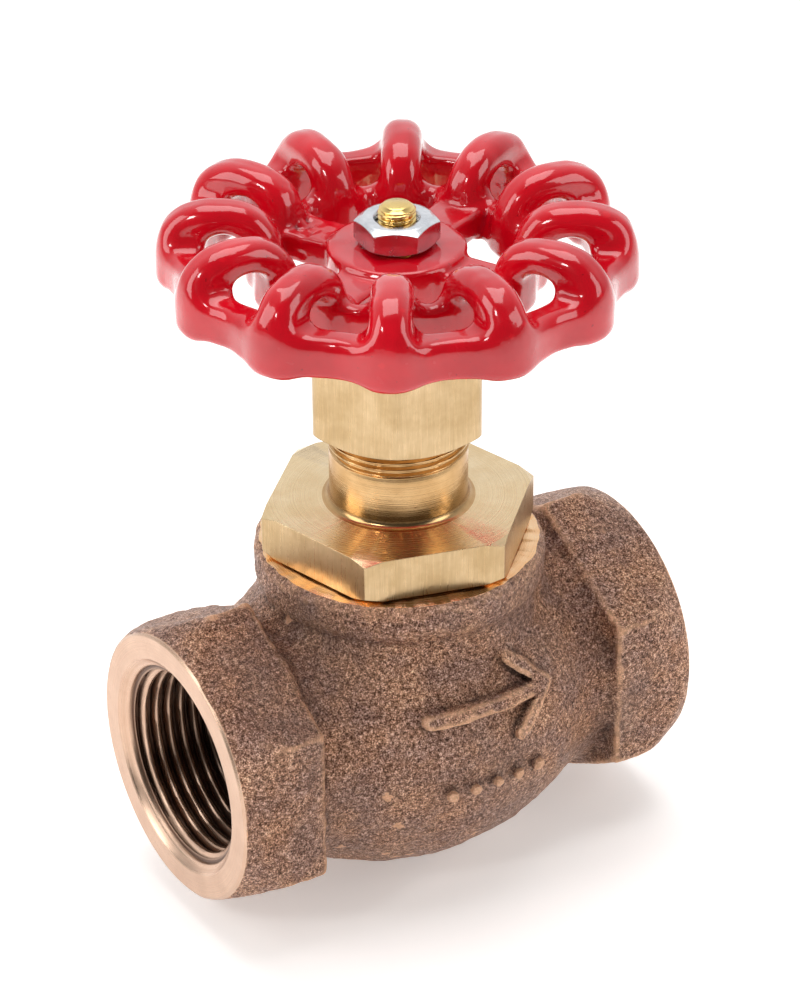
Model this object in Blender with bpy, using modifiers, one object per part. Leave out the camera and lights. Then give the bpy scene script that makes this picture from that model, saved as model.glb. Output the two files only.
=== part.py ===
"""A 3/4 inch bronze globe valve with a screw-in brass bonnet, a rising stem and a cast iron handwheel.

Metres, +Z up. The pipe runs along X and the stem stands on the Z axis. The origin is under the stem, on the
small flat below the belly that the valve stands on. The valve is shut: the seat disc is down on its seat.
Heights named *_Z are measured from the pipe's axis unless the name says otherwise.
"""

import math

import bmesh
import bpy
from mathutils import Matrix, Vector

MM = 0.001
CLEARANCE = 0.3 * MM

# Pipe line and casting
PIPE_AXIS_HEIGHT = 22.1 * MM
HALF_LENGTH = 35.0 * MM
END_HEX_FLATS = 36.6 * MM
END_HEX_LENGTH = 12.2 * MM
END_FACE_RADIUS = 18.15 * MM
END_CORNER_SLOPE = math.radians(25)
END_CORNER_ROUNDING = 0.8 * MM
BELLY_RADIUS = 22.4 * MM
BELLY_HALF_LENGTH = 28.8 * MM
WAIST_RADIUS = 17.2 * MM
WAIST_BLEND = 1.6 * MM
BOSS_RADIUS = 19.1 * MM
BOSS_TOP_Z = 24.0 * MM
BOSS_SHOULDER = 1.9 * MM
BOSS_FACE_RADIUS = 17.7 * MM
BOSS_SIDE = 3.4 * MM
BOSS_UNDERCUT = 2.5 * MM
BOSS_ROOT_Z = 10.0 * MM

# Pipe ports, 3/4 inch taper pipe thread
PORT_MOUTH_RADIUS = 14.0 * MM
PORT_THREAD_RADIUS = 12.8 * MM
PORT_ROOT_RADIUS = 12.3 * MM
PORT_DEPTH = 14.5 * MM

# Inside the casting
BONNET_BORE_RADIUS = 15.3 * MM
BONNET_BORE_END_Z = 13.5 * MM
CHAMBER_RADIUS = 12.3 * MM
CHAMBER_FLOOR_Z = 1.5 * MM
SEAT_Z = 3.0 * MM
SEAT_RIM_RADIUS = 9.0 * MM
SEAT_BORE_RADIUS = 7.5 * MM
SEAT_BORE_END_Z = -8.0 * MM
# Each passage runs between two balls: place along the pipe, height, radius.
INLET_PASSAGE = ((-20 * MM, -6.5 * MM, 8 * MM), (0, -11.5 * MM, 8 * MM))
OUTLET_PASSAGE = ((21 * MM, 1.5 * MM, 8.5 * MM), (12.5 * MM, 11.5 * MM, 7.5 * MM))

# Bonnet
BONNET_HEX_FLATS = 32.2 * MM
BONNET_HEX_TOP_Z = 30.2 * MM
BONNET_HEX_ANGLE = math.radians(-16.0)
BONNET_FACE_SHARE = 1.09
BONNET_THREAD_RADIUS = 15.0 * MM
BONNET_THREAD_END_Z = 14.5 * MM
BONNET_CAVITY_RADIUS = 12.5 * MM
BONNET_CAVITY_TOP_Z = 23.0 * MM
NECK_RADIUS = 9.07 * MM
NECK_TOP_Z = 51.0 * MM
STEM_THREAD_BORE_TOP_Z = 36.0 * MM
PACKING_BOX_RADIUS = 7.0 * MM
PACKING_BOX_FLOOR_Z = 38.5 * MM

# Packing
PACKING_NUT_FLATS = 21.6 * MM
PACKING_NUT_ANGLE = math.radians(-4.0)
PACKING_NUT_BOTTOM_Z = 40.6 * MM
PACKING_NUT_TOP_Z = 55.5 * MM
PACKING_NUT_CROWN = 2.2 * MM
PACKING_RING_COUNT = 3
PACKING_RING_HEIGHT = 2.9 * MM
GLAND_FLANGE_RADIUS = 8.6 * MM

# Stem, shut
STEM_THREAD_RADIUS = 5.2 * MM
STEM_THREAD_BOTTOM_Z = 17.2 * MM
STEM_THREAD_TOP_Z = 29.3 * MM
STEM_RADIUS = 4.0 * MM
STEM_SHOULDER_Z = 58.0 * MM
STEM_SQUARE = 5.6 * MM
STEM_SQUARE_TOP_Z = 65.9 * MM
STEM_TIP_RADIUS = 2.45 * MM
STEM_TIP_Z = 72.0 * MM
STEM_TIP_CHAMFER = 0.5 * MM
STEM_BUTTON_RADIUS = 3.9 * MM
STEM_BUTTON_HEIGHT = 1.9 * MM
STEM_THROAT_RADIUS = 2.9 * MM

# Disc
SEAT_DISC_RADIUS = 9.3 * MM
SEAT_DISC_THICKNESS = 3.0 * MM
DISC_HOLDER_RADIUS = 10.4 * MM
DISC_PLATE_THICKNESS = 2.2 * MM
DISC_RIM_STEP = 1.0 * MM
DISC_STUD_RADIUS = 2.0 * MM
DISC_STUD_TAIL = 1.2 * MM
DISC_NUT_FLATS = 7.9 * MM
DISC_NUT_HEIGHT = 2.7 * MM
SOCKET_RADIUS = 6.4 * MM
SOCKET_BORE_RADIUS = 5.0 * MM
SOCKET_TOP_Z = 14.4 * MM
LOCK_NUT_FLATS = 11.1 * MM
LOCK_NUT_TOP_Z = 16.3 * MM

# Handwheel: heights here are measured from the hub's top face
HUB_TOP_Z = 66.5 * MM
HUB_RADIUS = 8.8 * MM
HUB_HEIGHT = 8.2 * MM
HUB_BOSS_RADIUS = 7.6 * MM
WHEEL_ANGLE = math.radians(25.8)
RIB_COUNT = 12
RIB_WIDTH = 5.3 * MM
RIB_ARCH = (22.5 * MM, -2.5 * MM)
RIB_ARCH_RADIUS = 8.2 * MM
RIB_ARCH_FULLNESS = 2.4
RIM_INNER_RADIUS = 14.6 * MM
RIM_OUTER_RADIUS = 30.8 * MM
RIM_VALLEY_RADIUS = 28.9 * MM
RIM_BOTTOM = -4.9 * MM
WINDOW_INNER_RADIUS = 18.5 * MM
WINDOW_OUTER_RADIUS = 24.9 * MM
WINDOW_ARCH_Z = -1.4 * MM
VALLEY_INNER_Z = -0.2 * MM
VALLEY_OUTER_Z = 0.3 * MM
VALLEY_ROUNDING = 2.5 * MM
SPOKE_COUNT = 4
SPOKE_WIDTH = 6.6 * MM
SPOKE_TOP = -1.0 * MM
SPOKE_BOTTOM = -4.6 * MM
WHEEL_NUT_FLATS = 9.5 * MM
WHEEL_NUT_HEIGHT = 3.4 * MM
WHEEL_NUT_ANGLE = math.radians(-34.5)
NUT_FACE_SHARE = 0.95

ROUND_STEPS = 40
BODY_STEPS = 56
RIM_STEPS = 84
SMALL_STEPS = 32


# ---------------------------------------------------------------- scene and materials


def clear_scene():
    for obj in list(bpy.data.objects):
        bpy.data.objects.remove(obj, do_unlink=True)


def new_collection(name):
    collection = bpy.data.collections.new(name)
    bpy.context.scene.collection.children.link(collection)
    return collection


def principled(name, colour, roughness, metallic):
    material = bpy.data.materials.new(name)
    material.use_nodes = True
    shader = material.node_tree.nodes["Principled BSDF"]
    shader.inputs["Base Color"].default_value = (*colour, 1.0)
    shader.inputs["Roughness"].default_value = roughness
    shader.inputs["Metallic"].default_value = metallic
    return material


# ---------------------------------------------------------------- shape helpers


def add_object(name, mesh, collection):
    obj = bpy.data.objects.new(name, mesh)
    collection.objects.link(obj)
    return obj


def arc(centre, radius, start, end, points):
    """Points on a circle arc in the profile plane, from the angle start to the angle end."""
    angles = [start + (end - start) * i / (points - 1) for i in range(points)]
    return [(centre[0] + radius * math.cos(a), centre[1] + radius * math.sin(a)) for a in angles]


def turned(name, profile, collection, ring=False, steps=ROUND_STEPS):
    """A turned solid: (radius, height) points that run down the outer side, and back up the bore if ring."""
    mesh = bpy.data.meshes.new(name)
    count = len(profile)
    edges = [(i, i + 1) for i in range(count - 1)]
    if ring:
        edges.append((count - 1, 0))
    mesh.from_pydata([(radius, 0, height) for radius, height in profile], edges, [])
    obj = add_object(name, mesh, collection)
    screw = obj.modifiers.new("turn", "SCREW")
    screw.angle = 2 * math.pi
    screw.steps = steps
    screw.render_steps = steps
    screw.use_merge_vertices = True
    screw.merge_threshold = 0.00001
    return obj


def along_pipe(obj):
    """Lays a turned solid on the pipe's axis, so that its own +Z is +X."""
    obj.rotation_euler = (0, math.pi / 2, 0)
    obj.location = (0, 0, PIPE_AXIS_HEIGHT)
    return obj


def on_stem(obj, angle=0.0, height=PIPE_AXIS_HEIGHT):
    """Stands a solid on the stem's axis."""
    obj.rotation_euler = (0, 0, angle)
    obj.location = (0, 0, height)
    return obj


def prism(name, flats, bottom, top, collection, sides=6):
    """A regular prism about Z with a corner on +X, given its size across flats."""
    shape = bmesh.new()
    bmesh.ops.create_cone(
        shape,
        cap_ends=True,
        segments=sides,
        radius1=flats / 2 / math.cos(math.pi / sides),
        radius2=flats / 2 / math.cos(math.pi / sides),
        depth=top - bottom,
        matrix=Matrix.Translation((0, 0, (top + bottom) / 2)),
    )
    if sides == 6:
        corner = min(shape.verts, key=lambda v: (v.co - Vector((flats, 0, v.co.z))).length)
        turn = -math.atan2(corner.co.y, corner.co.x)
        bmesh.ops.rotate(shape, verts=shape.verts, matrix=Matrix.Rotation(turn, 3, "Z"))
    mesh = bpy.data.meshes.new(name)
    shape.to_mesh(mesh)
    shape.free()
    return add_object(name, mesh, collection)


def box(name, low, high, collection):
    shape = bmesh.new()
    bmesh.ops.create_cube(shape, size=1)
    size = Vector(high) - Vector(low)
    centre = (Vector(high) + Vector(low)) / 2
    place = Matrix.Translation(centre) @ Matrix.Diagonal((*size, 1))
    bmesh.ops.transform(shape, verts=shape.verts, matrix=place)
    mesh = bpy.data.meshes.new(name)
    shape.to_mesh(mesh)
    shape.free()
    return add_object(name, mesh, collection)


def hull(name, groups, collection):
    """One mesh holding the convex hull of each group of points."""
    shape = bmesh.new()
    for points in groups:
        verts = [shape.verts.new(point) for point in points]
        result = bmesh.ops.convex_hull(shape, input=verts)
        loose = [e for e in result["geom_interior"] if isinstance(e, bmesh.types.BMVert)]
        bmesh.ops.delete(shape, geom=loose, context="VERTS")
    bmesh.ops.recalc_face_normals(shape, faces=shape.faces)
    mesh = bpy.data.meshes.new(name)
    shape.to_mesh(mesh)
    shape.free()
    return add_object(name, mesh, collection)


def sphere_points(centre, radius, segments=16, rings=10):
    shape = bmesh.new()
    place = Matrix.Translation(centre)
    bmesh.ops.create_uvsphere(shape, u_segments=segments, v_segments=rings, radius=radius, matrix=place)
    points = [vert.co.copy() for vert in shape.verts]
    shape.free()
    return points


def boolean(obj, other, operation):
    modifier = obj.modifiers.new(other.name, "BOOLEAN")
    modifier.operation = operation
    modifier.solver = "EXACT"
    modifier.object = other


def settle(obj, material, crease=35.0):
    """Replaces a solid's mesh by its evaluated one, shades it smooth and gives it its material."""
    bpy.context.view_layer.update()
    evaluated = obj.evaluated_get(bpy.context.evaluated_depsgraph_get())
    mesh = bpy.data.meshes.new_from_object(evaluated)
    obj.modifiers.clear()
    obj.data = mesh
    mesh.name = obj.name
    mesh.materials.clear()
    if material:
        mesh.materials.append(material)
    mesh.shade_smooth()
    mesh.set_sharp_from_angle(angle=math.radians(crease))
    return obj


def hex_nut(name, flats, bottom, top, bore, collections, angle=0.0, skirt=None, face=NUT_FACE_SHARE):
    """A hexagon nut with its corners turned off at 30 degrees, and a plain bore, standing on the stem's axis.

    A skirt is (radius, bottom height) of a round part that hangs below the hexagon. The turned faces have
    the radius face times half the size across flats.
    """
    parts, cutters = collections
    spare = 1 * MM
    corner = flats / 2 / math.cos(math.pi / 6) + 0.1 * MM
    rim = flats / 2 * face
    drop = (corner - rim) * math.tan(math.radians(30))
    outline = [(0, top), (rim, top), (corner, top - drop)]
    outline += [(corner, bottom + drop), (rim, bottom), (0, bottom)]
    nut = on_stem(prism(name, flats, bottom - spare, top + spare, parts), angle)
    boolean(nut, on_stem(turned(name + "_chamfer", outline, cutters, steps=SMALL_STEPS)), "INTERSECT")
    lowest = bottom
    if skirt:
        radius, lowest = skirt
        middle = (top + bottom) / 2
        outline = [(0, middle), (radius, middle), (radius, lowest), (0, lowest)]
        boolean(nut, on_stem(turned(name + "_skirt", outline, cutters, steps=SMALL_STEPS)), "UNION")
    outline = [(0, top + spare), (bore, top + spare), (bore, lowest - spare), (0, lowest - spare)]
    boolean(nut, on_stem(turned(name + "_hole", outline, cutters, steps=SMALL_STEPS)), "DIFFERENCE")
    return nut


# ---------------------------------------------------------------- casting


def belly_radius(x):
    """The casting's radius at a place along the pipe: an ellipse that runs out into the two waists."""
    swell = BELLY_RADIUS * math.sqrt(max(0.0, 1 - (x / BELLY_HALF_LENGTH) ** 2))
    blend = max(0.0, 1 - abs(swell - WAIST_RADIUS) / WAIST_BLEND)
    return max(swell, WAIST_RADIUS) + blend * blend * WAIST_BLEND / 4


def pipe_outline():
    """Belly and waists as one turned outline along the pipe, from the +X end to the -X end."""
    end = HALF_LENGTH - END_HEX_LENGTH / 2
    reach = 22.0 * MM
    steps = 22
    places = [reach * math.sin(math.pi / 2 * (1 - 2 * i / steps)) for i in range(steps + 1)]
    outline = [(belly_radius(x), x) for x in places]
    return [(0, end), (WAIST_RADIUS, end), *outline, (WAIST_RADIUS, -end), (0, -end)]


def boss_outline():
    """The round boss the bonnet screws into: machined face, rounded shoulder, side drawn in below."""
    shoulder = BOSS_RADIUS - BOSS_SHOULDER
    tilt = math.acos((BOSS_FACE_RADIUS - shoulder) / BOSS_SHOULDER)
    widest = BOSS_TOP_Z - BOSS_SHOULDER * math.sin(tilt)
    side_bottom = BOSS_TOP_Z - BOSS_SIDE
    outline = [(0, BOSS_TOP_Z)]
    outline += arc((shoulder, widest), BOSS_SHOULDER, tilt, 0, 5)
    outline += arc((BOSS_RADIUS - BOSS_UNDERCUT, side_bottom), BOSS_UNDERCUT, 0, -math.pi / 4, 4)
    return outline + [(outline[-1][0], BOSS_ROOT_Z), (0, BOSS_ROOT_Z)]


def passage(name, ends, cutters):
    """A straight tunnel between two balls."""
    points = []
    for x, z, radius in ends:
        points += sphere_points(Vector((x, 0, PIPE_AXIS_HEIGHT + z)), radius)
    return hull(name, [points], cutters)


def port_cutter(name, side, cutters):
    mouth = HALF_LENGTH + 1 * MM
    chamfer = PORT_MOUTH_RADIUS - PORT_THREAD_RADIUS
    outline = [
        (0, mouth),
        (PORT_MOUTH_RADIUS + 1 * MM, mouth),
        (PORT_THREAD_RADIUS, HALF_LENGTH - chamfer),
        (PORT_ROOT_RADIUS, HALF_LENGTH - PORT_DEPTH),
        (0, HALF_LENGTH - PORT_DEPTH),
    ]
    cutter = along_pipe(turned(name, outline, cutters))
    if side < 0:
        cutter.rotation_euler = (0, -math.pi / 2, 0)
    return cutter


def valve_body(collections, material):
    """The bronze casting: belly, two hexagon ends, bonnet boss, and two chambers with the seat between."""
    parts, cutters = collections
    body = along_pipe(turned("valve_body", pipe_outline(), parts, steps=BODY_STEPS))

    for side, name in ((1, "outlet_hex"), (-1, "inlet_hex")):
        near = HALF_LENGTH - END_HEX_LENGTH
        far = HALF_LENGTH + 1 * MM
        end_hex = along_pipe(prism(name, END_HEX_FLATS, near, far, cutters))
        end_hex.rotation_euler = (0, side * math.pi / 2, 0)
        bevel = end_hex.modifiers.new("rounded_corners", "BEVEL")
        bevel.width = END_CORNER_ROUNDING
        bevel.segments = 2
        boolean(body, end_hex, "UNION")

    boss = on_stem(turned("bonnet_boss", boss_outline(), cutters, steps=BODY_STEPS))
    boolean(body, boss, "UNION")

    tall = 40 * MM
    corner = END_HEX_FLATS / 2 / math.cos(math.pi / 6) + 1 * MM
    chamfer = (corner - END_FACE_RADIUS) / math.tan(END_CORNER_SLOPE)
    near = HALF_LENGTH - END_HEX_LENGTH - 1 * MM
    ends = [
        (END_FACE_RADIUS, HALF_LENGTH),
        (corner, HALF_LENGTH - chamfer),
        (corner, near),
        (tall, near),
    ]
    mirrored = [(radius, -x) for radius, x in reversed(ends)]
    envelope_outline = [(0, HALF_LENGTH)] + ends + mirrored + [(0, -HALF_LENGTH)]
    boolean(body, along_pipe(turned("turned_ends", envelope_outline, cutters, steps=BODY_STEPS)), "INTERSECT")

    bore_outline = [
        (0, BOSS_TOP_Z + 1 * MM),
        (BONNET_BORE_RADIUS, BOSS_TOP_Z + 1 * MM),
        (BONNET_BORE_RADIUS, BONNET_BORE_END_Z),
        (CHAMBER_RADIUS, BONNET_BORE_END_Z),
        (CHAMBER_RADIUS, CHAMBER_FLOOR_Z + 2.5 * MM),
        (SEAT_RIM_RADIUS + 1.5 * MM, CHAMBER_FLOOR_Z),
        (SEAT_RIM_RADIUS, CHAMBER_FLOOR_Z),
        (SEAT_RIM_RADIUS, SEAT_Z),
        (SEAT_BORE_RADIUS, SEAT_Z),
        (SEAT_BORE_RADIUS, SEAT_BORE_END_Z),
        (0, SEAT_BORE_END_Z),
    ]
    boolean(body, port_cutter("inlet_port", -1, cutters), "DIFFERENCE")
    boolean(body, port_cutter("outlet_port", 1, cutters), "DIFFERENCE")
    boolean(body, on_stem(turned("bonnet_bore", bore_outline, cutters)), "DIFFERENCE")
    boolean(body, passage("inlet_passage", INLET_PASSAGE, cutters), "DIFFERENCE")
    boolean(body, passage("outlet_passage", OUTLET_PASSAGE, cutters), "DIFFERENCE")
    wide = 50 * MM
    boolean(body, box("standing_flat", (-wide, -wide, -wide), (wide, wide, 0), cutters), "DIFFERENCE")
    return settle(body, material)


# ---------------------------------------------------------------- bonnet and packing


def bonnet(collections, material):
    """Hexagon flange with a threaded skirt below, and the threaded neck that holds the packing."""
    cutters = collections[1]
    flange_bottom = BOSS_TOP_Z + CLEARANCE
    flange = hex_nut(
        "bonnet",
        BONNET_HEX_FLATS,
        flange_bottom,
        BONNET_HEX_TOP_Z,
        PACKING_BOX_RADIUS - 1 * MM,
        collections,
        BONNET_HEX_ANGLE,
        face=BONNET_FACE_SHARE,
    )
    fillet = arc((NECK_RADIUS + 1 * MM, BONNET_HEX_TOP_Z + 0.9 * MM), 1 * MM, math.pi, 1.5 * math.pi, 4)
    outline = [
        (PACKING_BOX_RADIUS, NECK_TOP_Z),
        (NECK_RADIUS - 0.6 * MM, NECK_TOP_Z),
        (NECK_RADIUS, NECK_TOP_Z - 0.6 * MM),
        *fillet,
        (fillet[-1][0], flange_bottom + 1 * MM),
        (BONNET_THREAD_RADIUS, flange_bottom + 1 * MM),
        (BONNET_THREAD_RADIUS, BONNET_THREAD_END_Z + 0.8 * MM),
        (BONNET_THREAD_RADIUS - 0.8 * MM, BONNET_THREAD_END_Z),
        (BONNET_CAVITY_RADIUS, BONNET_THREAD_END_Z),
        (BONNET_CAVITY_RADIUS, BONNET_CAVITY_TOP_Z),
        (STEM_THREAD_RADIUS + CLEARANCE, BONNET_CAVITY_TOP_Z),
        (STEM_THREAD_RADIUS + CLEARANCE, STEM_THREAD_BORE_TOP_Z),
        (STEM_RADIUS + CLEARANCE, STEM_THREAD_BORE_TOP_Z),
        (STEM_RADIUS + CLEARANCE, PACKING_BOX_FLOOR_Z),
        (PACKING_BOX_RADIUS, PACKING_BOX_FLOOR_Z),
    ]
    core = on_stem(turned("bonnet_neck", outline, cutters, ring=True))
    boolean(flange, core, "UNION")
    return settle(flange, material)


def packing_nut(collections, material):
    cutters = collections[1]
    nut = hex_nut(
        "packing_nut",
        PACKING_NUT_FLATS,
        PACKING_NUT_BOTTOM_Z,
        PACKING_NUT_TOP_Z,
        STEM_RADIUS + CLEARANCE,
        collections,
        PACKING_NUT_ANGLE,
    )
    bore = NECK_RADIUS + CLEARANCE
    roof = PACKING_NUT_TOP_Z - PACKING_NUT_CROWN
    below = PACKING_NUT_BOTTOM_Z - 1 * MM
    outline = [(0, roof), (bore, roof), (bore, below), (0, below)]
    boolean(nut, on_stem(turned("packing_nut_bore", outline, cutters)), "DIFFERENCE")
    return settle(nut, material)


def packing_rings(collections, material):
    """Soft rings stacked in the bonnet's box; returns the height of the top one."""
    parts = collections[0]
    inner = STEM_RADIUS + CLEARANCE
    outer = PACKING_BOX_RADIUS - CLEARANCE
    bottom = PACKING_BOX_FLOOR_Z + CLEARANCE
    for number in range(1, PACKING_RING_COUNT + 1):
        top = bottom + PACKING_RING_HEIGHT
        outline = [(inner, top), (outer, top), (outer, bottom), (inner, bottom)]
        ring = turned(f"packing_ring_{number}", outline, parts, ring=True, steps=SMALL_STEPS)
        settle(on_stem(ring), material)
        bottom = top + CLEARANCE
    return bottom - CLEARANCE


def packing_gland(collections, material, packing_top):
    """The brass follower that the packing nut presses on the rings."""
    parts = collections[0]
    inner = STEM_RADIUS + CLEARANCE
    outer = PACKING_BOX_RADIUS - CLEARANCE
    top = PACKING_NUT_TOP_Z - PACKING_NUT_CROWN - CLEARANCE
    shoulder = NECK_TOP_Z + CLEARANCE
    outline = [
        (inner, top),
        (GLAND_FLANGE_RADIUS, top),
        (GLAND_FLANGE_RADIUS, shoulder),
        (outer, shoulder),
        (outer, packing_top + CLEARANCE),
        (inner, packing_top + CLEARANCE),
    ]
    gland = turned("packing_gland", outline, parts, ring=True, steps=SMALL_STEPS)
    return settle(on_stem(gland), material)


# ---------------------------------------------------------------- stem and disc


def disc_levels():
    """Heights of the pieces stacked up from the seat, with the valve shut."""
    disc_bottom = SEAT_Z + CLEARANCE
    disc_top = disc_bottom + SEAT_DISC_THICKNESS
    plate_bottom = disc_top + CLEARANCE
    plate_top = plate_bottom + DISC_PLATE_THICKNESS
    return disc_bottom, disc_top, plate_bottom, plate_top


def disc_holder(collections, material):
    """The cup that carries the seat disc below and the stem's button in its socket above."""
    parts = collections[0]
    disc_bottom, disc_top, plate_bottom, plate_top = disc_levels()
    cup = SEAT_DISC_RADIUS + CLEARANCE
    rim_bottom = disc_bottom + DISC_RIM_STEP
    stud_bottom = disc_bottom - DISC_NUT_HEIGHT - DISC_STUD_TAIL
    outline = [
        (0, plate_top),
        (SOCKET_BORE_RADIUS, plate_top),
        (SOCKET_BORE_RADIUS, SOCKET_TOP_Z),
        (SOCKET_RADIUS, SOCKET_TOP_Z),
        (SOCKET_RADIUS, plate_top + 0.8 * MM),
        (DISC_HOLDER_RADIUS, plate_top),
        (DISC_HOLDER_RADIUS, rim_bottom),
        (cup, rim_bottom),
        (cup, plate_bottom),
        (DISC_STUD_RADIUS, plate_bottom),
        (DISC_STUD_RADIUS, stud_bottom),
        (0, stud_bottom),
    ]
    holder = turned("disc_holder", outline, parts, steps=SMALL_STEPS)
    return settle(on_stem(holder), material)


def seat_disc(collections, material):
    parts = collections[0]
    bottom, top = disc_levels()[:2]
    inner = DISC_STUD_RADIUS + CLEARANCE
    outline = [(inner, top), (SEAT_DISC_RADIUS, top), (SEAT_DISC_RADIUS, bottom), (inner, bottom)]
    disc = turned("seat_disc", outline, parts, ring=True, steps=SMALL_STEPS)
    return settle(on_stem(disc), material)


def seat_disc_nut(collections, material):
    top = disc_levels()[0] - CLEARANCE
    bottom = top - DISC_NUT_HEIGHT
    bore = DISC_STUD_RADIUS + CLEARANCE
    nut = hex_nut("seat_disc_nut", DISC_NUT_FLATS, bottom, top, bore, collections)
    return settle(nut, material)


def stem_lock_nut(collections, material):
    """The nut screwed into the disc holder's socket over the stem's button, so that the disc swivels."""
    bore = STEM_THROAT_RADIUS + CLEARANCE
    skirt = (SOCKET_BORE_RADIUS - CLEARANCE, stem_button_top() + CLEARANCE)
    flange_bottom = SOCKET_TOP_Z + CLEARANCE
    top = LOCK_NUT_TOP_Z
    nut = hex_nut("stem_lock_nut", LOCK_NUT_FLATS, flange_bottom, top, bore, collections, skirt=skirt)
    return settle(nut, material)


def stem_button_top():
    return disc_levels()[3] + CLEARANCE + STEM_BUTTON_HEIGHT


def stem(collections, material):
    """Button, throat, power thread, shank, square for the wheel and threaded tip, from the bottom up."""
    parts, cutters = collections
    button_top = stem_button_top()
    button_bottom = button_top - STEM_BUTTON_HEIGHT
    outline = [
        (0, STEM_TIP_Z),
        (STEM_TIP_RADIUS - STEM_TIP_CHAMFER, STEM_TIP_Z),
        (STEM_TIP_RADIUS, STEM_TIP_Z - STEM_TIP_CHAMFER),
        (STEM_TIP_RADIUS, STEM_SQUARE_TOP_Z),
        (STEM_RADIUS, STEM_SQUARE_TOP_Z),
        (STEM_RADIUS, STEM_THREAD_TOP_Z),
        (STEM_THREAD_RADIUS, STEM_THREAD_TOP_Z - 0.7 * MM),
        (STEM_THREAD_RADIUS, STEM_THREAD_BOTTOM_Z + 0.7 * MM),
        (STEM_THROAT_RADIUS, STEM_THREAD_BOTTOM_Z),
        (STEM_THROAT_RADIUS, button_top),
        (STEM_BUTTON_RADIUS, button_top),
        (STEM_BUTTON_RADIUS, button_bottom + 0.4 * MM),
        (STEM_BUTTON_RADIUS - 0.8 * MM, button_bottom),
        (0, button_bottom),
    ]
    shaft = on_stem(turned("stem", outline, parts, steps=SMALL_STEPS), WHEEL_ANGLE)
    half = STEM_SQUARE / 2
    reach = STEM_RADIUS + 1 * MM
    low = STEM_SHOULDER_Z
    high = STEM_SQUARE_TOP_Z
    for number in range(4):
        flat = box(f"stem_flat_{number}", (half, -reach, low), (reach, reach, high + 0.05 * MM), cutters)
        on_stem(flat, WHEEL_ANGLE + number * math.pi / 2)
        boolean(shaft, flat, "DIFFERENCE")
    return settle(shaft, material)


# ---------------------------------------------------------------- handwheel


def valley_points(radius, half_width, floor):
    """Section of the valley between two ribs at a radius of the wheel: flat floor and rounded walls."""
    rounding = min(VALLEY_ROUNDING, half_width)
    centre = (half_width - rounding, floor + rounding)
    points = []
    for across, height in arc(centre, rounding, 0, -math.pi / 2, 4) + [(half_width, floor + 20 * MM)]:
        points += [(radius, across, height), (radius, -across, height)]
    return points


def valley_half_width(radius):
    """Half the space between two ribs, across the middle of the space."""
    half_pitch = math.pi / RIB_COUNT
    return radius * math.tan(half_pitch) - RIB_WIDTH / 2 / math.cos(half_pitch)


def turn_points(points, angle):
    turn = Matrix.Rotation(angle, 3, "Z")
    return [turn @ Vector(point) for point in points]


def scallop(rim, middle):
    """Draws the outside of the turned rim in between the ribs, as a wave around the wheel."""
    for vert in rim.data.vertices:
        radius = math.hypot(vert.co.x, vert.co.y)
        if radius <= middle:
            continue
        angle = math.atan2(vert.co.y, vert.co.x)
        share = (radius - middle) / (RIM_OUTER_RADIUS - middle)
        inward = (RIM_OUTER_RADIUS - RIM_VALLEY_RADIUS) * (1 - math.cos(RIB_COUNT * angle)) / 2
        scale = 1 - share * inward / radius
        vert.co.x *= scale
        vert.co.y *= scale


def rib_outline(points):
    """The outside of a rib from its inner foot over the crown to its outer foot, fuller than a circle."""
    middle, level = RIB_ARCH
    outline = []
    for turn in [math.pi * (1 - i / (points - 1)) for i in range(points)]:
        across = abs(math.cos(turn)) ** (2 / RIB_ARCH_FULLNESS)
        height = abs(math.sin(turn)) ** (2 / RIB_ARCH_FULLNESS)
        radius = middle + math.copysign(RIB_ARCH_RADIUS * across, math.cos(turn))
        outline.append((radius, level + RIB_ARCH_RADIUS * height))
    return outline


def wheel_rim(collections):
    """A turned arch over a channel. The valleys cut between the ribs leave two rings with windows."""
    parts, cutters = collections
    channel = (WINDOW_OUTER_RADIUS - WINDOW_INNER_RADIUS) / 2
    channel_centre = (WINDOW_INNER_RADIUS + channel, WINDOW_ARCH_Z)
    under = arc(channel_centre, channel, 0, math.pi, 8)
    outline = rib_outline(15)
    outline += [(RIM_OUTER_RADIUS - 0.4 * MM, RIM_BOTTOM), (WINDOW_OUTER_RADIUS, RIM_BOTTOM), *under]
    outline += [(WINDOW_INNER_RADIUS, RIM_BOTTOM), (RIM_INNER_RADIUS, RIM_BOTTOM)]
    rim = turned("handwheel", outline, parts, ring=True, steps=RIM_STEPS)
    settle(rim, None)
    scallop(rim, RIB_ARCH[0])

    near, far = RIM_INNER_RADIUS - 2 * MM, RIM_OUTER_RADIUS + 2 * MM
    rise = (VALLEY_OUTER_Z - VALLEY_INNER_Z) / (WINDOW_OUTER_RADIUS - WINDOW_INNER_RADIUS)
    valleys = []
    for number in range(RIB_COUNT):
        angle = (2 * number + 1) * math.pi / RIB_COUNT
        valley = []
        for radius in (near, far):
            floor = VALLEY_INNER_Z + rise * (radius - WINDOW_INNER_RADIUS)
            valley += valley_points(radius, valley_half_width(radius), floor)
        valleys.append(turn_points(valley, angle))
    boolean(rim, hull("wheel_valleys", valleys, cutters), "DIFFERENCE")
    return rim


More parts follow.
